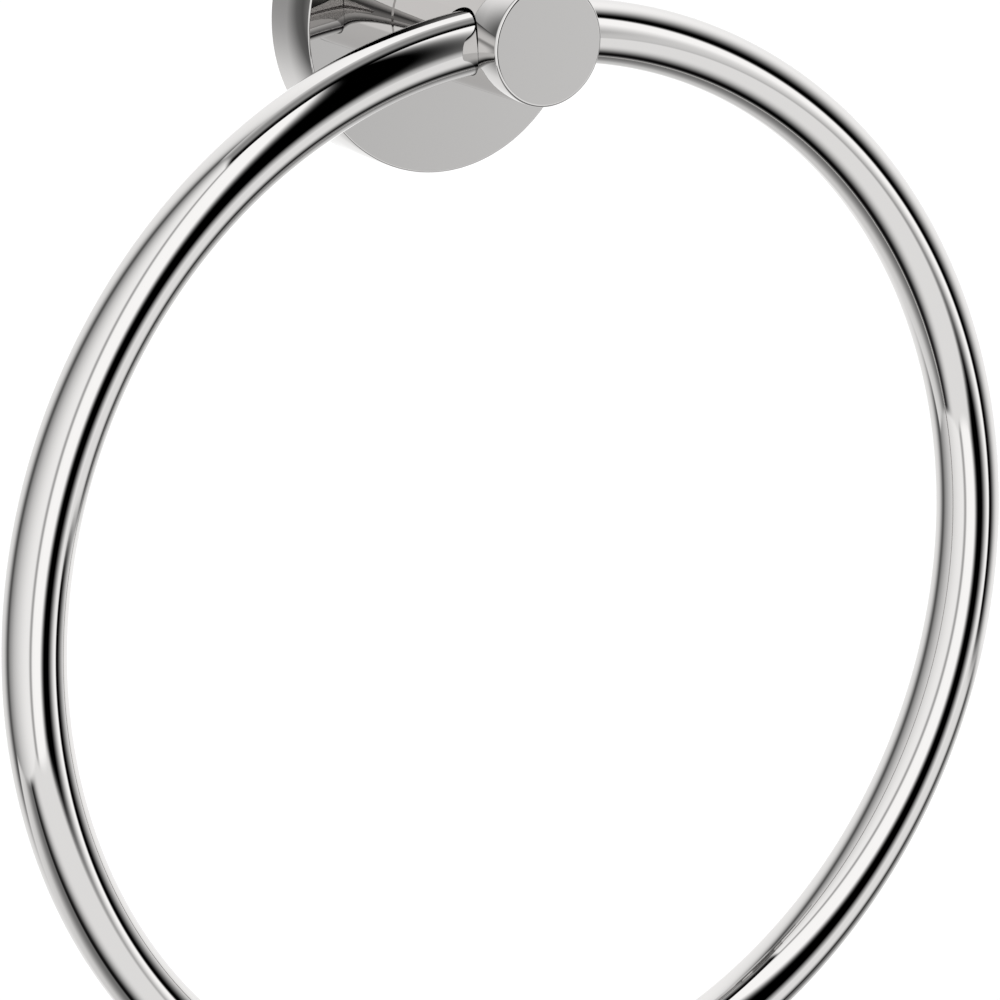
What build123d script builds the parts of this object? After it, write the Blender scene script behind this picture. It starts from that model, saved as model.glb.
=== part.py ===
from build123d import *

import os
from math import degrees, isclose

# A wall-mounted towel ring: a round rosette, a short cylindrical post and a fixed ring of bent tube.
# Millimetres. The wall is the plane Y = 0, the room is towards -Y, +Z is up and +X is to the right.
# The origin is the centre of the rosette's back. A "depth" is a distance from the wall, towards -Y.

# Rosette: a turned cup whose closed face is turned to the room
ROSETTE_RADIUS = 25.0
ROSETTE_DEPTH = 10.5
ROSETTE_FRONT = 2.5
ROSETTE_SKIRT = 3.0
ROSETTE_EDGE = 0.25
ROSETTE_INNER_CORNER = 1.0

# Post: a turned bar on the rosette, with a straight oval cross bore. The bore is a little taller than wide,
# because the bent tube sinks on its way through the post.
POST_RADIUS = 9.7
POST_FRONT_DEPTH = 39.2
POST_FRONT_EDGE = 0.45
POST_ROOT_EDGE = 0.3
BORE_WIDTH = 10.16
BORE_HEIGHT = 10.52
BORE_DROP = 0.24

# Ring: a tube bent into a full circle, whose two ends meet inside the post
RING_RADIUS = 86.5
TUBE_RADIUS = 5.0
TUBE_WALL = 1.1
RING_DEPTH = 29.3
SEAM_GAP = 0.3
JOINER_LENGTH = 24.0
JOINER_EDGE = 0.4

# Wall bracket: a cast disc inside the rosette, screwed to the wall through two slots
BRACKET_GAP = 0.2
BRACKET_THICKNESS = 6.0
BRACKET_EDGE = 0.3
BRACKET_RECESS_RADIUS = 7.0
BRACKET_RECESS_FLOOR = 2.2
GROOVE_DEPTH = 1.2
GROOVE_FLOOR_WIDTH = 2.0
SLOT_OFFSET = 14.0
SLOT_WIDTH = 5.0
SLOT_LENGTH = 7.5
SLOT_HEAD_MARGIN = 1.8
SLOT_HEAD_DEPTH = 2.5

# Screws, washer and pin, by their nominal thread
THREAD_GAP = 0.02
M6_RADIUS = 3.0
M4_RADIUS = 2.0
POST_SCREW_LENGTH = 10.0
POST_SCREW_HEAD_RADIUS = 5.25
POST_SCREW_HEAD_HEIGHT = 3.3
POST_SCREW_HEAD_EDGE = 1.4
POST_SCREW_SOCKET = 4.0
POST_SCREW_SOCKET_DEPTH = 2.1
POST_SCREW_CLEARANCE_RADIUS = 3.2
WASHER_RADIUS = 5.9
WASHER_HOLE_RADIUS = 3.05
WASHER_THICKNESS = 1.6
WASHER_SPLIT = 0.8
WASHER_SPLIT_SLANT = 20.0
LOCK_SCREW_LENGTH = 6.0
LOCK_SCREW_TIP_RADIUS = 2.0
LOCK_SCREW_SOCKET = 3.0
LOCK_SCREW_SOCKET_DEPTH = 3.0
PIN_RADIUS = 1.25
PIN_LENGTH = 6.0
PIN_OFFSET = 7.3
PIN_EDGE = 0.25
PIN_HOLE_SPARE = 0.3
SET_SCREW_LENGTH = 4.0
SET_SCREW_TIP_RADIUS = 1.0
SET_SCREW_SOCKET = 2.0
SET_SCREW_SOCKET_DEPTH = 2.0
SET_SCREW_INSET = 0.25
SCREW_END_EDGE = 0.5

# Places that follow from the sizes above
ROSETTE_FLOOR_DEPTH = ROSETTE_DEPTH - ROSETTE_FRONT
ROSETTE_INNER_RADIUS = ROSETTE_RADIUS - ROSETTE_SKIRT
BRACKET_RADIUS = ROSETTE_INNER_RADIUS - BRACKET_GAP
GROOVE_FLOOR_RADIUS = BRACKET_RADIUS - GROOVE_DEPTH
SET_SCREW_TIP = ROSETTE_RADIUS - SET_SCREW_INSET - SET_SCREW_LENGTH
# The groove's sides slope at 45 degrees, and the screw's pointed end bears on the side nearer the room.
SET_SCREW_DEPTH = (
    BRACKET_THICKNESS / 2 + GROOVE_FLOOR_WIDTH / 2 + (SET_SCREW_TIP - GROOVE_FLOOR_RADIUS) - SET_SCREW_TIP_RADIUS
)
TUBE_BACK_DEPTH = RING_DEPTH - TUBE_RADIUS
RING_AXIS = Axis((0, -RING_DEPTH, -RING_RADIUS), (0, 1, 0))
PIN_TOP = Location((0, 0, PIN_OFFSET))


def turned(*outline):
    """A solid turned about the post's axis, from (radius, depth) corners."""
    corners = [(radius, -depth) for radius, depth in outline]
    return revolve(make_face(Polyline(*corners, close=True)), Axis.Y)


def bar(radius, near, far):
    """A plain cylinder along the post's axis, between two depths."""
    return turned((0, near), (radius, near), (radius, far), (0, far))


def turned_edges(part, radius, depth):
    """The round edges of a turned part that have this radius and depth."""
    return part.edges().filter_by(
        lambda edge: edge.geom_type == GeomType.CIRCLE
        and isclose(edge.radius, radius, abs_tol=0.001)
        and isclose(edge.arc_center.Y, -depth, abs_tol=0.001)
    )


def hex_socket(across_flats, mouth, depth):
    """The hexagonal hole of a socket screw, open towards the wall at the depth given as its mouth."""
    wall_side = Plane(origin=(0, -mouth, 0), x_dir=(1, 0, 0), z_dir=(0, -1, 0))
    return extrude(wall_side * RegularPolygon(across_flats / 2, 6, major_radius=False), depth)


def slot_block(width, length, near, far):
    """A block with round ends along X, between two depths, to cut both of the bracket's slots."""
    face = Plane(origin=(0, -near, 0), x_dir=(1, 0, 0), z_dir=(0, -1, 0))
    slots = Sketch() + Locations((SLOT_OFFSET, 0), (-SLOT_OFFSET, 0)) * SlotOverall(length, width)
    return extrude(face * slots, far - near)


def ring_section(outer_radius, inner_radius=0):
    """The tube's section at the top of the ring, where the seam is."""
    top = Plane(origin=(0, -RING_DEPTH, 0), x_dir=(0, 1, 0), z_dir=(1, 0, 0))
    section = Circle(outer_radius)
    if inner_radius:
        section -= Circle(inner_radius)
    return top * section


def rosette():
    body = turned(
        (0, ROSETTE_FLOOR_DEPTH),
        (ROSETTE_INNER_RADIUS, ROSETTE_FLOOR_DEPTH),
        (ROSETTE_INNER_RADIUS, 0),
        (ROSETTE_RADIUS, 0),
        (ROSETTE_RADIUS, ROSETTE_DEPTH),
        (0, ROSETTE_DEPTH),
    )
    body = fillet(turned_edges(body, ROSETTE_RADIUS, ROSETTE_DEPTH), ROSETTE_EDGE)
    body = fillet(turned_edges(body, ROSETTE_INNER_RADIUS, ROSETTE_FLOOR_DEPTH), ROSETTE_INNER_CORNER)
    body -= bar(POST_SCREW_CLEARANCE_RADIUS, ROSETTE_FLOOR_DEPTH, ROSETTE_DEPTH)
    body -= PIN_TOP * bar(PIN_RADIUS, ROSETTE_FLOOR_DEPTH, ROSETTE_DEPTH)
    threaded_hole = Location((0, -SET_SCREW_DEPTH, -ROSETTE_RADIUS)) * Cylinder(M4_RADIUS, 2 * ROSETTE_SKIRT + 1)
    return body - threaded_hole


def post():
    body = bar(POST_RADIUS, ROSETTE_DEPTH, POST_FRONT_DEPTH)
    body = fillet(turned_edges(body, POST_RADIUS, POST_FRONT_DEPTH), POST_FRONT_EDGE)
    body = chamfer(turned_edges(body, POST_RADIUS, ROSETTE_DEPTH), POST_ROOT_EDGE)
    across = Plane(origin=(0, -RING_DEPTH, -BORE_DROP), x_dir=(0, 0, 1), z_dir=(1, 0, 0))
    cross_bore = extrude(across * SlotOverall(BORE_HEIGHT, BORE_WIDTH), POST_RADIUS, both=True)
    pin_end = ROSETTE_FLOOR_DEPTH + PIN_LENGTH + PIN_HOLE_SPARE
    body -= bar(M6_RADIUS, ROSETTE_DEPTH, RING_DEPTH)
    body -= PIN_TOP * bar(PIN_RADIUS, ROSETTE_DEPTH, pin_end)
    return body - cross_bore


def ring():
    seam_angle = degrees(SEAM_GAP / RING_RADIUS)
    start = ring_section(TUBE_RADIUS, TUBE_RADIUS - TUBE_WALL).rotate(RING_AXIS, seam_angle / 2)
    return revolve(start, RING_AXIS, 360 - seam_angle)


def ring_joiner():
    arc = degrees(JOINER_LENGTH / RING_RADIUS)
    start = ring_section(TUBE_RADIUS - TUBE_WALL - THREAD_GAP).rotate(RING_AXIS, -arc / 2)
    rod = revolve(start, RING_AXIS, arc)
    return chamfer(rod.edges().filter_by(GeomType.CIRCLE), JOINER_EDGE)


def ring_lock_screw():
    back = TUBE_BACK_DEPTH - LOCK_SCREW_LENGTH
    radius = M6_RADIUS - THREAD_GAP
    tip_height = radius - LOCK_SCREW_TIP_RADIUS
    body = turned(
        (0, back),
        (radius - SCREW_END_EDGE, back),
        (radius, back + SCREW_END_EDGE),
        (radius, TUBE_BACK_DEPTH - tip_height),
        (LOCK_SCREW_TIP_RADIUS, TUBE_BACK_DEPTH),
        (0, TUBE_BACK_DEPTH),
    )
    return body - hex_socket(LOCK_SCREW_SOCKET, back, LOCK_SCREW_SOCKET_DEPTH)


def post_screw():
    seat = ROSETTE_FLOOR_DEPTH - WASHER_THICKNESS
    back = seat - POST_SCREW_HEAD_HEIGHT
    end = seat + POST_SCREW_LENGTH
    radius = M6_RADIUS - THREAD_GAP
    body = turned(
        (0, back),
        (POST_SCREW_HEAD_RADIUS, back),
        (POST_SCREW_HEAD_RADIUS, seat),
        (radius, seat),
        (radius, end - SCREW_END_EDGE),
        (radius - SCREW_END_EDGE, end),
        (0, end),
    )
    body = fillet(turned_edges(body, POST_SCREW_HEAD_RADIUS, back), POST_SCREW_HEAD_EDGE)
    return body - hex_socket(POST_SCREW_SOCKET, back, POST_SCREW_SOCKET_DEPTH)


def lock_washer():
    near = ROSETTE_FLOOR_DEPTH - WASHER_THICKNESS
    body = turned(
        (WASHER_HOLE_RADIUS, near),
        (WASHER_RADIUS, near),
        (WASHER_RADIUS, ROSETTE_FLOOR_DEPTH),
        (WASHER_HOLE_RADIUS, ROSETTE_FLOOR_DEPTH),
    )
    middle = (WASHER_RADIUS, -(near + ROSETTE_FLOOR_DEPTH) / 2, 0)
    split = Location(middle, (WASHER_SPLIT_SLANT, 0, 0)) * Box(WASHER_RADIUS, 2 * WASHER_THICKNESS, WASHER_SPLIT)
    return body - split


def locating_pin():
    end = ROSETTE_FLOOR_DEPTH + PIN_LENGTH
    body = bar(PIN_RADIUS, ROSETTE_FLOOR_DEPTH, end)
    body = chamfer(turned_edges(body, PIN_RADIUS, end), PIN_EDGE)
    return PIN_TOP * body


def wall_bracket():
    middle = BRACKET_THICKNESS / 2
    floor_half = GROOVE_FLOOR_WIDTH / 2
    mouth_half = floor_half + GROOVE_DEPTH
    body = turned(
        (0, 0),
        (BRACKET_RADIUS, 0),
        (BRACKET_RADIUS, middle - mouth_half),
        (GROOVE_FLOOR_RADIUS, middle - floor_half),
        (GROOVE_FLOOR_RADIUS, middle + floor_half),
        (BRACKET_RADIUS, middle + mouth_half),
        (BRACKET_RADIUS, BRACKET_THICKNESS),
        (0, BRACKET_THICKNESS),
    )
    body = chamfer(turned_edges(body, BRACKET_RADIUS, BRACKET_THICKNESS), BRACKET_EDGE)
    body -= bar(BRACKET_RECESS_RADIUS, BRACKET_RECESS_FLOOR, BRACKET_THICKNESS)
    body -= slot_block(SLOT_WIDTH, SLOT_LENGTH, 0, BRACKET_THICKNESS)
    return body - slot_block(
        SLOT_WIDTH + 2 * SLOT_HEAD_MARGIN,
        SLOT_LENGTH + 2 * SLOT_HEAD_MARGIN,
        BRACKET_THICKNESS - SLOT_HEAD_DEPTH,
        BRACKET_THICKNESS,
    )


def set_screw():
    radius = M4_RADIUS - THREAD_GAP
    tip_height = radius - SET_SCREW_TIP_RADIUS
    body = turned(
        (0, 0),
        (radius - SCREW_END_EDGE, 0),
        (radius, SCREW_END_EDGE),
        (radius, SET_SCREW_LENGTH - tip_height),
        (SET_SCREW_TIP_RADIUS, SET_SCREW_LENGTH),
        (0, SET_SCREW_LENGTH),
    )
    body -= hex_socket(SET_SCREW_SOCKET, 0, SET_SCREW_SOCKET_DEPTH)
    outer_end = (0, -SET_SCREW_DEPTH, -ROSETTE_RADIUS + SET_SCREW_INSET)
    return Location(outer_end, (-90, 0, 0)) * body


SUB_PARTS = {
    "rosette": rosette,
    "post": post,
    "ring": ring,
    "ring_joiner": ring_joiner,
    "ring_lock_screw": ring_lock_screw,
    "post_screw": post_screw,
    "lock_washer": lock_washer,
    "locating_pin": locating_pin,
    "wall_bracket": wall_bracket,
    "set_screw": set_screw,
}

os.makedirs("parts", exist_ok=True)
for name, make in SUB_PARTS.items():
    export_step(make(), f"parts/{name}.step")
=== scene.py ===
"""The looks of a wall-mounted chrome towel ring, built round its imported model."""
import math

import bmesh
import bpy
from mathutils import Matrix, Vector


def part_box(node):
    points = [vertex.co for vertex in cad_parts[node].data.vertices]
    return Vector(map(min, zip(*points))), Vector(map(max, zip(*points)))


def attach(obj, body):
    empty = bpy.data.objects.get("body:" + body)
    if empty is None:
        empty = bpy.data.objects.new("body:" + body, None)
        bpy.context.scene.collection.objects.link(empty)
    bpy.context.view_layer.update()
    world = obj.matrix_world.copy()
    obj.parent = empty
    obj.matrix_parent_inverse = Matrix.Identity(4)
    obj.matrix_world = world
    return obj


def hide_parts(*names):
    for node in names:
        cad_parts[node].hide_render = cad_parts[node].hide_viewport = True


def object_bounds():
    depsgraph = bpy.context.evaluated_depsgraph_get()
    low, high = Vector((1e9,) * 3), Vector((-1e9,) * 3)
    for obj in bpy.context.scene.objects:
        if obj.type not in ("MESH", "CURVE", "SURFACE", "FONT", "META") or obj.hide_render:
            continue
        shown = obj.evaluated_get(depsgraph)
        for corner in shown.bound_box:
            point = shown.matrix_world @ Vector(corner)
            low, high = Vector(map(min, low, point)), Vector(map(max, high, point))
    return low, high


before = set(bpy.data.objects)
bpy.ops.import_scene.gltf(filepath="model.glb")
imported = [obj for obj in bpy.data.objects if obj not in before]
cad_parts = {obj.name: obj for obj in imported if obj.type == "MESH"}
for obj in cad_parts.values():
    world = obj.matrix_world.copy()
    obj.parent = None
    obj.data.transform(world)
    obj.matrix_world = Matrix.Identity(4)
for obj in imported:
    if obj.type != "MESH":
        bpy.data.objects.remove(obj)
cad_low, cad_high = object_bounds()


# Camera
# A long lens, from the left of the ring and a little above it. The frame cuts off the top of the rosette and
# the foot of the ring.
MM = 0.001
CAMERA_AZIMUTH = math.radians(-33.53)
CAMERA_ELEVATION = math.radians(14.05)
CAMERA_DISTANCE = 1822.5 * MM
CAMERA_AIM = Vector((-3.165, -30.53, -72.68)) * MM
CAMERA_LENS = 426.2
SENSOR_WIDTH = 36.0

from_object = Vector(
    (
        math.sin(CAMERA_AZIMUTH) * math.cos(CAMERA_ELEVATION),
        -math.cos(CAMERA_AZIMUTH) * math.cos(CAMERA_ELEVATION),
        math.sin(CAMERA_ELEVATION),
    )
)
bpy.ops.object.camera_add(location=CAMERA_AIM + from_object * CAMERA_DISTANCE)
camera = bpy.context.object
camera.rotation_euler = (-from_object).to_track_quat("-Z", "Y").to_euler()
camera.data.lens = CAMERA_LENS
camera.data.sensor_width = SENSOR_WIDTH
bpy.context.scene.camera = camera


# Studio
# A white paper room round the object, with soft black flags that give polished metal its dark streaks.
# The camera sees plain white behind the object, and every other ray sees the room.
CHROME = (0.606, 0.597, 0.59)
METAL_SHARE = 0.595  # the part of the light that the chrome gives back; the room is that much brighter
FIRST_BEARING = -150.0  # bearings round the room are counted from this azimuth, a plain stretch of paper
FULL_TURN = 360.0
LEAST_SLOPE = 0.05  # keeps rays that run almost level from meeting the floor or the ceiling at infinity
WHITE = 255.0
GAMMA = 2.2


class Wire:
    """One output of a shader node. Arithmetic on it adds Math nodes to the same tree."""

    def __init__(self, tree, socket=None):
        self.tree = tree
        self.socket = socket

    def add(self, kind, settings=None, inputs=None, output=0):
        """A new node, with its settings made first and then its sockets; gives one of its outputs."""
        made = self.tree.nodes.new("ShaderNode" + kind)
        for name, value in (settings or {}).items():
            setattr(made, name, value)
        for name, value in (inputs or {}).items():
            if isinstance(value, Wire):
                self.tree.links.new(value.socket, made.inputs[name])
            else:
                made.inputs[name].default_value = value
        return Wire(self.tree, made.outputs[output] if made.outputs else None)

    def feed(self, value, socket):
        """Links a wire of this tree to a socket."""
        self.tree.links.new(value.socket, socket)

    def math(self, operation, *values):
        """One Math node on some wires and numbers."""
        return self.add("Math", {"operation": operation}, dict(enumerate(values)))

    def __add__(self, other):
        return self.math("ADD", self, other)

    __radd__ = __add__

    def __sub__(self, other):
        return self.math("SUBTRACT", self, other)

    def __rsub__(self, other):
        return self.math("SUBTRACT", other, self)

    def __mul__(self, other):
        return self.math("MULTIPLY", self, other)

    __rmul__ = __mul__

    def __truediv__(self, other):
        return self.math("DIVIDE", self, other)

    def __rtruediv__(self, other):
        return self.math("DIVIDE", other, self)

    def __pow__(self, other):
        return self.math("POWER", self, other)

    def soft(self, low, high):
        """0 up to low and 1 from high, with a smooth step between; a low above high turns it round."""
        span = {"Value": self, "From Min": low, "From Max": high}
        return self.add("MapRange", {"interpolation_type": "SMOOTHSTEP"}, span)

    def rise(self, low, high, power):
        """0 up to low and 1 from high, slow at first and then steep."""
        return self.add("MapRange", {}, {"Value": self, "From Min": low, "From Max": high}) ** power

    def towards(self, other, share):
        """This number where share is 0, and the other where share is 1."""
        return self + (other - self) * share


def wall_grey(bearing, height):
    """The walls: white paper, a thin grey strip, a long dark flag, a black flag and a black panel.

    The paper is in grey levels of 255, a flag is its darkness times its edges, and the edges are bearings in
    degrees. Where height is in an edge, the flag leans.
    """
    paper = 242 - 11 * bearing.soft(8, 20) - 23 * bearing.soft(24, 76)
    paper = paper + 16 * bearing.soft(84, 98) + 20 * bearing.soft(136, 174)
    grey_strip = 0.34 * bearing.soft(6, 14) * bearing.soft(22, 14)
    long_flag = 0.8 * bearing.rise(10, 109.5, 4.5) * bearing.rise(150, 105, 2.8)
    leaning = bearing + 7.6 * height
    black_flag = 0.97 * leaning.rise(200, 271, 3.5) * leaning.soft(281.5, 275.5)
    panel_edge = 305.5 + 8 * height.soft(0.05, -0.22)
    black_panel = 0.99 * bearing.rise(286, panel_edge, 1.45) * (bearing + 8 * height).soft(341.5, 322.5)
    return paper * (1 - grey_strip) * (1 - long_flag) * (1 - black_flag) * (1 - black_panel)


def floor_grey(along, across):
    """The floor, where a ray meets it, in heights of the object above it. Its stripes bend on the right."""
    bent = along + 0.12 * across.math("MAXIMUM", across - 0.3, 0.0)
    paper = 216 - 110 * bent.soft(-0.2, -0.05) + 92 * bent.soft(0.02, 0.75) + 32 * bent.soft(0.5, 1.8)
    depth = 0.95 - 0.12 * across.math("ABSOLUTE", across)
    black_runner = depth * bent.rise(-1.0, -0.22, 2.6) * bent.soft(-0.02, -0.13)
    return paper * (1 - black_runner)


def ceiling_grey(along):
    """The ceiling, by how far along the room a ray meets it, in heights of the ceiling above the object."""
    return 4 + 126 * along.soft(-0.25, -0.05) + 55 * along.soft(0.06, 0.3)


def room_light(tree):
    """The light that comes from each direction of the room."""
    start = Wire(tree)
    direction = start.add("TexCoord", output="Generated")
    x, y, z = (start.add("SeparateXYZ", inputs={"Vector": direction}, output=axis) for axis in "XYZ")
    azimuth_turns = start.math("ARCTAN2", x, y) / math.tau - FIRST_BEARING / FULL_TURN
    bearing = start.math("FRACT", azimuth_turns) * FULL_TURN
    down = start.math("MAXIMUM", 0 - z, LEAST_SLOPE)
    across, along = x / down, y / down
    left_half = across.soft(-1.64, -1.5) * (across + 0.87 * along).soft(-2.8, -2.5)
    right_half = across.soft(2.75, 2.35) * along.soft(-2.95, -2.35) * along.soft(1.35, 1.1)
    on_floor = left_half * right_half
    up = start.math("MAXIMUM", z, LEAST_SLOPE)
    over_across, over_along = x / up, y / up
    on_ceiling = over_across.soft(-0.355, -0.315) * over_along.soft(-0.34, -0.3) * over_along.soft(0.36, 0.28)
    on_ceiling = on_ceiling * over_across.soft(0.6, 0.5) * z.soft(0.5, 0.6)
    grey = wall_grey(bearing, z).towards(floor_grey(along, across), on_floor)
    grey = grey.towards(ceiling_grey(over_along), on_ceiling)
    return (grey / WHITE) ** GAMMA / METAL_SHARE


world = bpy.data.worlds.new("paper_room")
world.use_nodes = True
world.node_tree.nodes.clear()
light = room_light(world.node_tree)
to_camera = light.add("LightPath", output="Is Camera Ray")
background = light.add("Background", inputs={"Color": light.towards(1.0, to_camera)})
background.add("OutputWorld", inputs={"Surface": background})
bpy.context.scene.world = world
bpy.context.scene.view_settings.view_transform = "Standard"

# The floor is pale paper, well below the object. Metal sees the room through it, and the shadow stays on it.
FLOOR_DROP = 420 * MM
FLOOR_SIZE = 30.0
FLOOR_GREY = 0.8
FLOOR_LIFT = 0.32  # light of the floor's own, for the camera only, which brings the paper up to white

bpy.ops.mesh.primitive_plane_add(size=FLOOR_SIZE, location=(0, 0, cad_low.z - FLOOR_DROP))
floor = bpy.context.object
floor.name = "floor"
bpy.ops.object.transform_apply(location=True, rotation=True, scale=True)
floor.visible_glossy = False
floor_paper = bpy.data.materials.new("floor_paper")
floor_paper.use_nodes = True
surface = floor_paper.node_tree.nodes["Principled BSDF"]
surface.inputs["Base Color"].default_value = (FLOOR_GREY, FLOOR_GREY, FLOOR_GREY, 1)
surface.inputs["Roughness"].default_value = 1.0
surface.inputs["Emission Color"].default_value = (1, 1, 1, 1)
to_camera = Wire(floor_paper.node_tree).add("LightPath", output="Is Camera Ray")
to_camera.feed(to_camera * FLOOR_LIFT, surface.inputs["Emission Strength"])
floor.data.materials.append(floor_paper)


# Post
# A turned brass bar with a flat face, a fine rounded front edge and a straight cross bore, polished and
# chrome plated. The bore is a little taller than wide, and its two saddle-shaped mouths take the bent ring
# with a hair of room all round. From the back it has the thread for its screw and the hole for its pin.
FINE_SIDES = 720
HOLE_SIDES = 96
PIN_HOLE_SIDES = 48
NEAR = 0.02 * MM
REACH = 1.0 * MM  # how far a cutting or joining shape reaches past the face that it goes through
CHROME_EDGE_TINT = 0.76  # at a glancing angle, chrome gives back hardly more light than face on
SMOOTH_ANGLE = math.radians(35)
LARGEST_FACE_FIRST = 100
POST_FRONT_EDGE = 0.45 * MM
POST_ROOT_EDGE = 0.3 * MM
POST_EDGE_STEPS = 6
POST_DRAWN_SIDE = 4.5 * MM  # the depth of side next to the front edge that the polishing mop has drawn round
BORE_WIDTH = 10.16 * MM
BORE_HEIGHT = 10.52 * MM
BORE_DROP = 0.24 * MM
BORE_SIDES = 256
M6_RADIUS = 3.0 * MM
PIN_RADIUS = 1.25 * MM
PIN_RISE = 7.3 * MM
PIN_HOLE_SPARE = 0.3 * MM


def start_bar(name, radius, near_y, far_y, sides=FINE_SIDES, z=0.0):
    """A closed bar along Y between two places, ready to be shaped. Its far end is towards the room."""
    bpy.ops.object.select_all(action="DESELECT")
    bpy.ops.mesh.primitive_cylinder_add(
        vertices=sides,
        radius=radius,
        depth=near_y - far_y,
        location=(0, (near_y + far_y) / 2, z),
        rotation=(math.pi / 2, 0, 0),
    )
    bar = bpy.context.object
    bar.name = name
    bar.data.name = name
    bpy.ops.object.transform_apply(location=True, rotation=True, scale=True)
    return bar


def pick(mode, test):
    """In edit mode, selects only the vertices, edges or faces that pass the test."""
    bpy.ops.mesh.select_all(action="DESELECT")
    bpy.ops.mesh.select_mode(type=mode)
    mesh = bmesh.from_edit_mesh(bpy.context.object.data)
    for part in {"VERT": mesh.verts, "EDGE": mesh.edges, "FACE": mesh.faces}[mode]:
        part.select = test(part)
    mesh.select_flush_mode()
    bmesh.update_edit_mesh(bpy.context.object.data)


def on_rim(point, radius, y):
    """Whether a point lies on a circle of this radius round the Y axis."""
    return abs(point.y - y) < NEAR and abs(math.hypot(point.x, point.z) - radius) < NEAR


def bevel_rim(radius, y, width, segments):
    """In edit mode, rounds the edges of a round rim of this radius at this place."""
    pick("EDGE", lambda edge: all(on_rim(corner.co, radius, y) for corner in edge.verts))
    bpy.ops.mesh.bevel(offset=width, segments=segments, affect="EDGES", clamp_overlap=False)


def cut_side(radius, y):
    """In edit mode, cuts a ring of edges into a round side of this radius, to bound the shading there."""
    least = radius - NEAR
    pick("FACE", lambda face: all(math.hypot(corner.co.x, corner.co.z) > least for corner in face.verts))
    bpy.ops.mesh.bisect(plane_co=(0, y, 0), plane_no=(0, 1, 0))


def combine(piece, other, operation="DIFFERENCE"):
    """Cuts the other shape out of the piece, or joins or crosses the two, and removes the other."""
    bpy.context.view_layer.objects.active = piece
    modifier = piece.modifiers.new(operation.lower(), "BOOLEAN")
    modifier.operation = operation
    modifier.solver = "EXACT"
    modifier.object = other
    bpy.ops.object.modifier_apply(modifier=modifier.name)
    bpy.data.objects.remove(other, do_unlink=True)


def finish_metal(piece, blended=None):
    """Smooth shading in which flat faces stay flat and round ones round, up to their sharp edges.

    At the points that pass the test in blended, the shading runs over from one face to the next instead.
    """
    bpy.ops.object.select_all(action="DESELECT")
    piece.select_set(True)
    bpy.context.view_layer.objects.active = piece
    bpy.ops.object.shade_smooth_by_angle(angle=SMOOTH_ANGLE)
    modifier = piece.modifiers.new("flats", "WEIGHTED_NORMAL")
    modifier.mode = "FACE_AREA"
    modifier.weight = LARGEST_FACE_FIRST
    modifier.keep_sharp = True
    if blended:
        group = piece.vertex_groups.new(name="flats")
        group.add([point.index for point in piece.data.vertices if not blended(point.co)], 1.0, "ADD")
        modifier.vertex_group = group.name
    bpy.ops.object.modifier_apply(modifier=modifier.name)


def new_metal(name, color, metallic=1.0):
    """A metal of one colour, and its Principled node and a wire at its object coordinates."""
    material = bpy.data.materials.new(name)
    material.use_nodes = True
    shader = material.node_tree.nodes["Principled BSDF"]
    shader.inputs["Base Color"].default_value = (*color, 1)
    shader.inputs["Metallic"].default_value = metallic
    return material, shader, Wire(material.node_tree).add("TexCoord", output="Object")


def mirror_chrome():
    """Bright chrome plate: nearly a mirror, with a faint cloudiness left by the polishing mop."""
    material, shader, place = new_metal("mirror_chrome", CHROME)
    shader.inputs["Specular Tint"].default_value = (CHROME_EDGE_TINT, CHROME_EDGE_TINT, CHROME_EDGE_TINT, 1)
    cloud = place.add("TexNoise", inputs={"Vector": place, "Scale": 160.0, "Detail": 3.0})
    place.feed(0.012 + 0.02 * cloud, shader.inputs["Roughness"])
    return material


chrome = mirror_chrome()
ring_low, ring_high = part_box("ring")
ring_y = (ring_low.y + ring_high.y) / 2
post_low, post_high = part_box("post")
post_radius = post_high.x
pin_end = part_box("locating_pin")[0].y

post = start_bar("post_bar", post_radius, post_high.y, post_low.y)
bpy.ops.object.mode_set(mode="EDIT")
bevel_rim(post_radius, post_low.y, POST_FRONT_EDGE, POST_EDGE_STEPS)
bevel_rim(post_radius, post_high.y, POST_ROOT_EDGE, 1)
cut_side(post_radius, post_low.y + POST_DRAWN_SIDE)
bpy.ops.object.mode_set(mode="OBJECT")

bpy.ops.mesh.primitive_cylinder_add(
    vertices=BORE_SIDES,
    radius=BORE_WIDTH / 2,
    depth=3 * post_radius,
    location=(0, ring_y, 0),
    rotation=(0, math.pi / 2, 0),
)
bore = bpy.context.object
bpy.ops.object.transform_apply(location=True, rotation=True, scale=True)
bpy.ops.object.mode_set(mode="EDIT")
pick("VERT", lambda point: point.co.z > NEAR)
bpy.ops.transform.translate(value=(0, 0, (BORE_HEIGHT - BORE_WIDTH) / 2))
pick("VERT", lambda point: point.co.z < -NEAR)
bpy.ops.transform.translate(value=(0, 0, -(BORE_HEIGHT - BORE_WIDTH) / 2))
bpy.ops.mesh.select_all(action="SELECT")
bpy.ops.transform.translate(value=(0, 0, -BORE_DROP))
bpy.ops.object.mode_set(mode="OBJECT")
combine(post, bore)
combine(post, start_bar("screw_hole", M6_RADIUS, post_high.y + REACH, ring_y, HOLE_SIDES))
pin_hole_end = pin_end - PIN_HOLE_SPARE
combine(post, start_bar("pin_hole", PIN_RADIUS, post_high.y + REACH, pin_hole_end, PIN_HOLE_SIDES, PIN_RISE))
# The polishing mop has drawn the side round towards its front edge, too little to change its outline.
finish_metal(post, blended=lambda point: on_rim(point, post_radius, post_low.y + POST_FRONT_EDGE))
post.data.materials.append(chrome)
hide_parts("post")
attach(post, "root")


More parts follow.
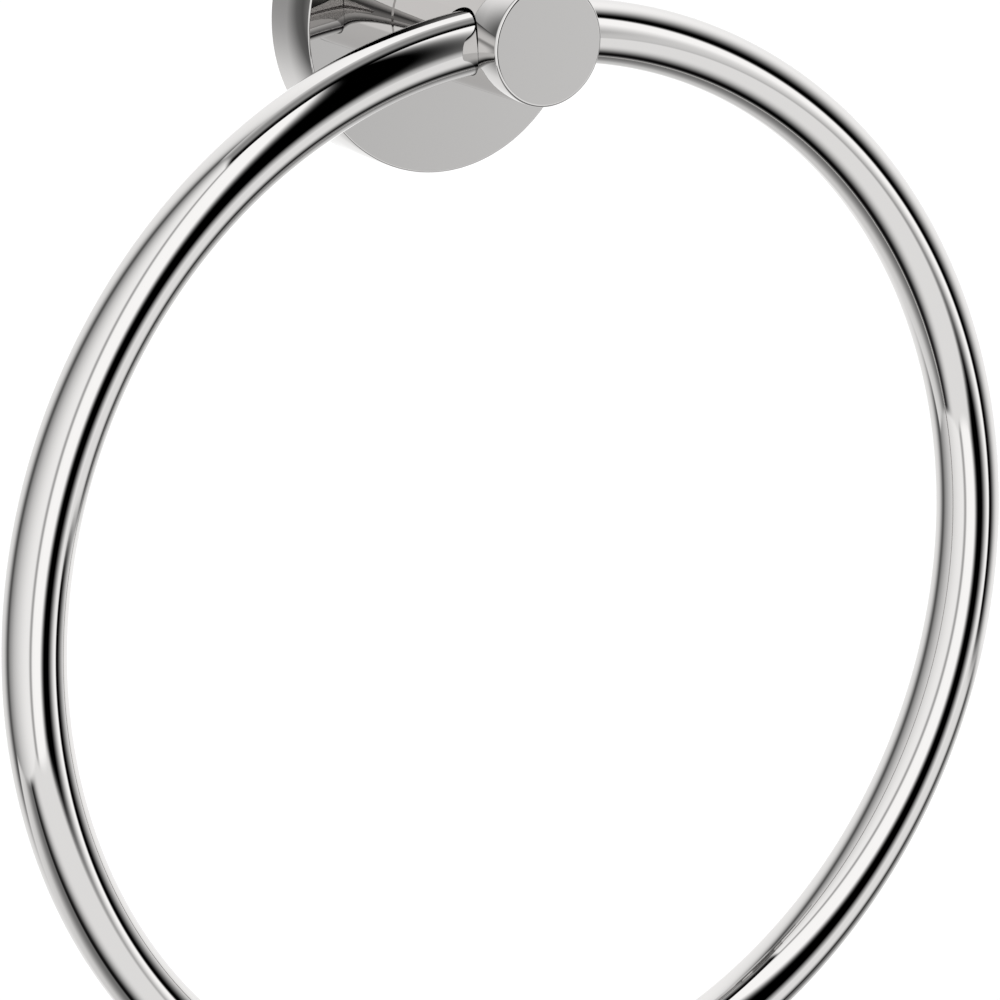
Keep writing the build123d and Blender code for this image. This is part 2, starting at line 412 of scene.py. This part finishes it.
# Ring
# A brass tube bent into a full circle, polished and chrome plated. Its two ends meet inside the post, over a
# short bent brass rod that keeps them in line.
TUBE_RADIUS = 5.0 * MM
TUBE_WALL = 1.1 * MM
SEAM_GAP = 0.3 * MM
RING_STEPS = 448
TUBE_SIDES = 80
BARE_BRASS = (0.78, 0.57, 0.28)


def drawn_brass():
    """Bare drawn brass, with fine lines along its length."""
    material, shader, place = new_metal("drawn_brass", BARE_BRASS)
    stretched = place.add("Mapping", inputs={"Vector": place, "Scale": (40.0, 900.0, 900.0)})
    lines = place.add("TexNoise", inputs={"Vector": stretched, "Scale": 1.0, "Detail": 4.0})
    place.feed(0.22 + 0.16 * lines, shader.inputs["Roughness"])
    return material


def dress(node, material):
    """Gives a CAD node that keeps its shape its finish."""
    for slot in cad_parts[node].material_slots:
        slot.material = material


ring_radius = (ring_high.z - ring_low.z) / 2 - TUBE_RADIUS
bpy.ops.object.select_all(action="DESELECT")
bpy.ops.mesh.primitive_circle_add(
    vertices=TUBE_SIDES,
    radius=TUBE_RADIUS,
    location=(0, ring_y, 0),
    rotation=(0, math.pi / 2, 0),
)
ring = bpy.context.object
ring.name = "ring_tube"
ring.data.name = "ring_tube"
bpy.ops.object.transform_apply(location=True, rotation=True, scale=True)
seam_turn = SEAM_GAP / ring_radius
ring_centre = Vector((0, ring_y, -ring_radius))
bpy.ops.object.mode_set(mode="EDIT")
bpy.ops.mesh.select_all(action="SELECT")
bpy.ops.transform.rotate(value=seam_turn / 2, orient_axis="Y", center_override=ring_centre)
bpy.ops.mesh.spin(steps=RING_STEPS, angle=math.tau - seam_turn, center=ring_centre, axis=(0, 1, 0))
bpy.ops.mesh.select_all(action="SELECT")
bpy.ops.mesh.normals_make_consistent(inside=False)
bpy.ops.object.mode_set(mode="OBJECT")
wall = ring.modifiers.new("wall", "SOLIDIFY")
wall.thickness = TUBE_WALL
wall.offset = -1
bpy.ops.object.modifier_apply(modifier=wall.name)
finish_metal(ring)
ring.data.materials.append(chrome)
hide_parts("ring")
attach(ring, "root")

dress("ring_joiner", drawn_brass())


# Ring lock screw
# A black steel socket screw in the post's long thread. Its flat point bears on the tube and holds the ring,
# and its socket is reached from the back before the post goes on the rosette.
THREAD_GAP = 0.02 * MM
THREAD_STEPS = 40
SCREW_SIDES = 126
M6_PITCH = 1.0 * MM
LOCK_SCREW_TIP_RADIUS = 2.0 * MM
LOCK_SCREW_SOCKET = 3.0 * MM
LOCK_SCREW_SOCKET_DEPTH = 3.0 * MM
SCREW_END_EDGE = 0.5 * MM
THREAD_DEPTH_SHARE = 0.72  # of the pitch, from the sharp crest to the root
CREST_SHARE = 0.11  # of the pitch, by which the sharp crest stands out of the bar
THREAD_START = 1.37  # pitches before the far end, where the first turn begins
THREAD_SPARE_TURNS = 3
WELD = 0.001 * MM
HEXAGON = 6
BLACKENED_STEEL = (0.035, 0.035, 0.04)


def threaded_bar(name, radius, pitch, near_y, far_y, near_edge, far_edge):
    """A bar along Y with a screw thread cut into it and both of its ends chamfered."""
    depth = THREAD_DEPTH_SHARE * pitch
    bpy.ops.object.select_all(action="DESELECT")
    # A diamond without its inner corner is the outline of one turn. The bar cuts its sharp crest flat.
    bpy.ops.mesh.primitive_circle_add(vertices=4, radius=pitch / 2, location=(0, 0, 0))
    thread = bpy.context.object
    bpy.ops.object.mode_set(mode="EDIT")
    pick("VERT", lambda point: point.co.x < -NEAR)
    bpy.ops.mesh.delete(type="VERT")
    bpy.ops.mesh.select_all(action="SELECT")
    bpy.ops.transform.resize(value=(2 * depth / pitch, 1, 1), center_override=(0, 0, 0))
    bpy.ops.transform.translate(value=(radius + CREST_SHARE * pitch - depth, far_y - THREAD_START * pitch, 0))
    bpy.ops.object.mode_set(mode="OBJECT")
    turns = thread.modifiers.new("turns", "SCREW")
    turns.axis = "Y"
    turns.steps = turns.render_steps = THREAD_STEPS
    turns.screw_offset = pitch
    turns.iterations = math.ceil((near_y - far_y) / pitch) + THREAD_SPARE_TURNS
    turns.use_merge_vertices = True
    turns.merge_threshold = WELD / 10
    bpy.ops.object.modifier_apply(modifier=turns.name)
    bpy.ops.object.mode_set(mode="EDIT")
    for y, outwards in ((near_y + pitch / 4, 1), (far_y - pitch / 4, -1)):
        bpy.ops.mesh.select_all(action="SELECT")
        bpy.ops.mesh.remove_doubles(threshold=WELD)
        bpy.ops.mesh.bisect(plane_co=(0, y, 0), plane_no=(0, outwards, 0), use_fill=True, clear_outer=True)
    bpy.ops.mesh.select_all(action="SELECT")
    bpy.ops.mesh.normals_make_consistent(inside=False)
    bpy.ops.object.mode_set(mode="OBJECT")
    blank = start_bar(name, radius, near_y, far_y, SCREW_SIDES)
    bpy.ops.object.mode_set(mode="EDIT")
    bevel_rim(radius, near_y, near_edge, 1)
    bevel_rim(radius, far_y, far_edge, 1)
    bpy.ops.object.mode_set(mode="OBJECT")
    combine(blank, thread, "INTERSECT")
    return blank


def cut_socket(screw, across_flats, near_y, depth):
    """A hexagonal socket in the end towards the wall."""
    corner_radius = across_flats / math.sqrt(3)
    combine(screw, start_bar("socket", corner_radius, near_y + REACH, near_y - depth, HEXAGON))


def black_oxide():
    """Blackened steel, dull and a little uneven."""
    material, shader, place = new_metal("black_oxide", BLACKENED_STEEL, metallic=0.7)
    patches = place.add("TexNoise", inputs={"Vector": place, "Scale": 900.0, "Detail": 5.0})
    place.feed(0.34 + 0.25 * patches, shader.inputs["Roughness"])
    return material


lock_low, lock_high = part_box("ring_lock_screw")
m6_screw_radius = M6_RADIUS - THREAD_GAP
lock_tip_edge = m6_screw_radius - LOCK_SCREW_TIP_RADIUS
lock_screw = threaded_bar(
    "lock_screw_thread", m6_screw_radius, M6_PITCH, lock_high.y, lock_low.y, SCREW_END_EDGE, lock_tip_edge
)
cut_socket(lock_screw, LOCK_SCREW_SOCKET, lock_high.y, LOCK_SCREW_SOCKET_DEPTH)
finish_metal(lock_screw)
lock_screw.data.materials.append(black_oxide())
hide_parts("ring_lock_screw")
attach(lock_screw, "root")


# Rosette
# The round cover on the wall: a brass cup turned in one piece, polished and chrome plated. Its open side is
# at the wall. Its face carries the post and the locating pin, and a set screw goes through its skirt from
# below.
ROSETTE_SKIRT = 3.0 * MM
ROSETTE_FRONT = 2.5 * MM
ROSETTE_EDGE = 0.25 * MM
ROSETTE_EDGE_STEPS = 3
ROSETTE_DRAWN_SIDE = 6.3 * MM
ROSETTE_INNER_CORNER = 1.0 * MM
ROSETTE_INNER_CORNER_STEPS = 6
POST_SCREW_CLEARANCE_RADIUS = 3.2 * MM
M4_RADIUS = 2.0 * MM
M4_HOLE_SIDES = 64
DULL_PLATE = (0.52, 0.51, 0.49)
GROUND_STEEL = (0.6, 0.6, 0.61)
SQUARE_ON = 0.99  # the least Y in the normal of a face that looks at the wall


def unpolished_plate():
    """The inside of the cup, plated over the marks of the lathe and never polished."""
    material, shader, place = new_metal("unpolished_plate", DULL_PLATE)
    rings = place.add("TexNoise", inputs={"Vector": place, "Scale": 700.0, "Detail": 4.0})
    place.feed(0.32 + 0.2 * rings, shader.inputs["Roughness"])
    return material


def pin_steel():
    """Hardened steel, ground round the pin's length."""
    material, shader, place = new_metal("pin_steel", GROUND_STEEL)
    stretched = place.add("Mapping", inputs={"Vector": place, "Scale": (200.0, 6000.0, 200.0)})
    lines = place.add("TexNoise", inputs={"Vector": stretched, "Scale": 1.0, "Detail": 2.0})
    place.feed(0.16 + 0.14 * lines, shader.inputs["Roughness"])
    return material


rosette_low, rosette_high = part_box("rosette")
rosette_radius = rosette_high.x
inner_radius = rosette_radius - ROSETTE_SKIRT
inner_floor = rosette_low.y + ROSETTE_FRONT
set_low, set_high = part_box("set_screw")
set_screw_y = (set_low.y + set_high.y) / 2

rosette = start_bar("rosette_cup", rosette_radius, rosette_high.y, rosette_low.y)
bpy.ops.object.mode_set(mode="EDIT")
pick("FACE", lambda face: face.normal.y > SQUARE_ON)
bpy.ops.mesh.inset(thickness=ROSETTE_SKIRT)
bpy.ops.mesh.extrude_region_move(TRANSFORM_OT_translate={"value": (0, inner_floor - rosette_high.y, 0)})
bevel_rim(rosette_radius, rosette_low.y, ROSETTE_EDGE, ROSETTE_EDGE_STEPS)
bevel_rim(inner_radius, inner_floor, ROSETTE_INNER_CORNER, ROSETTE_INNER_CORNER_STEPS)
cut_side(rosette_radius, rosette_low.y + ROSETTE_DRAWN_SIDE)
bpy.ops.object.mode_set(mode="OBJECT")
hole_end = rosette_low.y - REACH
combine(rosette, start_bar("clearance", POST_SCREW_CLEARANCE_RADIUS, 0, hole_end, HOLE_SIDES))
combine(rosette, start_bar("pin_hole", PIN_RADIUS, 0, hole_end, PIN_HOLE_SIDES, PIN_RISE))
bpy.ops.mesh.primitive_cylinder_add(
    vertices=M4_HOLE_SIDES,
    radius=M4_RADIUS,
    depth=3 * ROSETTE_SKIRT,
    location=(0, set_screw_y, -rosette_radius),
)
combine(rosette, bpy.context.object)
finish_metal(rosette, blended=lambda point: on_rim(point, rosette_radius, rosette_low.y + ROSETTE_EDGE))
rosette.data.materials.append(chrome)
rosette.data.materials.append(unpolished_plate())
for face in rosette.data.polygons:
    middle = face.center
    if math.hypot(middle.x, middle.z) < inner_radius + NEAR and middle.y > inner_floor - NEAR:
        face.material_index = 1
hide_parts("rosette")
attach(rosette, "root")

dress("locating_pin", pin_steel())


# Post screw and its washer
# A zinc plated button-head screw, with a split spring washer under its head. It is turned in from inside the
# rosette and pulls the post on to it.
POST_SCREW_HEAD_RADIUS = 5.25 * MM
POST_SCREW_HEAD_HEIGHT = 3.3 * MM
POST_SCREW_HEAD_EDGE = 1.4 * MM
POST_SCREW_HEAD_EDGE_STEPS = 8
POST_SCREW_HEAD_SIDES = 128
POST_SCREW_SOCKET = 4.0 * MM
POST_SCREW_SOCKET_DEPTH = 2.1 * MM
BLUISH_ZINC = (0.66, 0.68, 0.71)


def zinc_plate():
    """Bright zinc plate on steel, faintly bluish, with soft patches."""
    material, shader, place = new_metal("zinc_plate", BLUISH_ZINC)
    patches = place.add("TexNoise", inputs={"Vector": place, "Scale": 420.0, "Detail": 3.0})
    place.feed(0.2 + 0.2 * patches, shader.inputs["Roughness"])
    return material


zinc = zinc_plate()
post_screw_low, post_screw_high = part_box("post_screw")
seat_y = post_screw_high.y - POST_SCREW_HEAD_HEIGHT
post_screw = threaded_bar(
    "post_screw_thread",
    m6_screw_radius,
    M6_PITCH,
    seat_y + REACH,
    post_screw_low.y,
    SCREW_END_EDGE,
    SCREW_END_EDGE,
)
head = start_bar("head", POST_SCREW_HEAD_RADIUS, post_screw_high.y, seat_y, POST_SCREW_HEAD_SIDES)
bpy.ops.object.mode_set(mode="EDIT")
bevel_rim(POST_SCREW_HEAD_RADIUS, post_screw_high.y, POST_SCREW_HEAD_EDGE, POST_SCREW_HEAD_EDGE_STEPS)
bpy.ops.object.mode_set(mode="OBJECT")
combine(post_screw, head, "UNION")
cut_socket(post_screw, POST_SCREW_SOCKET, post_screw_high.y, POST_SCREW_SOCKET_DEPTH)
finish_metal(post_screw)
post_screw.data.materials.append(zinc)
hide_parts("post_screw")
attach(post_screw, "root")

dress("lock_washer", zinc)


# Wall bracket
# A disc cast in zinc, tumbled smooth and screwed flat to the wall through its two slots. The set screw's
# point runs in the groove round its edge.
CAST_ZINC = (0.5, 0.51, 0.52)


def tumbled_zinc():
    """Zinc as it comes out of the mould and the tumbler: grey, dull and finely dimpled."""
    material, shader, place = new_metal("tumbled_zinc", CAST_ZINC, metallic=0.85)
    flow = place.add("TexNoise", inputs={"Vector": place, "Scale": 120.0, "Detail": 4.0})
    place.feed(0.4 + 0.2 * flow, shader.inputs["Roughness"])
    dimples = place.add("TexNoise", inputs={"Vector": place, "Scale": 1500.0, "Detail": 2.0})
    skin = place.add("Bump", inputs={"Height": dimples, "Strength": 0.25, "Distance": 0.05 * MM})
    place.feed(skin, shader.inputs["Normal"])
    return material


dress("wall_bracket", tumbled_zinc())


# Set screw
# A stainless socket screw under the rosette. Its point runs up the slope of the bracket's groove and draws
# the rosette against the wall.
M4_PITCH = 0.7 * MM
SET_SCREW_TIP_RADIUS = 1.0 * MM
SET_SCREW_SOCKET = 2.0 * MM
SET_SCREW_SOCKET_DEPTH = 2.0 * MM
STAINLESS = (0.62, 0.61, 0.59)


def turned_stainless():
    """Stainless steel as it comes off the lathe, slightly uneven in its gloss."""
    material, shader, place = new_metal("turned_stainless", STAINLESS)
    marks = place.add("TexNoise", inputs={"Vector": place, "Scale": 1100.0, "Detail": 3.0})
    place.feed(0.2 + 0.16 * marks, shader.inputs["Roughness"])
    return material


m4_screw_radius = M4_RADIUS - THREAD_GAP
set_screw_length = set_high.z - set_low.z
set_tip_edge = m4_screw_radius - SET_SCREW_TIP_RADIUS
set_screw = threaded_bar(
    "set_screw_thread", m4_screw_radius, M4_PITCH, 0, -set_screw_length, SCREW_END_EDGE, set_tip_edge
)
cut_socket(set_screw, SET_SCREW_SOCKET, 0, SET_SCREW_SOCKET_DEPTH)
finish_metal(set_screw)
# It was made lying down with its point towards the room. It is stood up, point upwards, at its place.
set_screw.rotation_euler = (-math.pi / 2, 0, 0)
set_screw.location = (0, set_screw_y, set_low.z)
bpy.ops.object.transform_apply(location=True, rotation=True, scale=True)
set_screw.data.materials.append(turned_stainless())
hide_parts("set_screw")
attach(set_screw, "root")
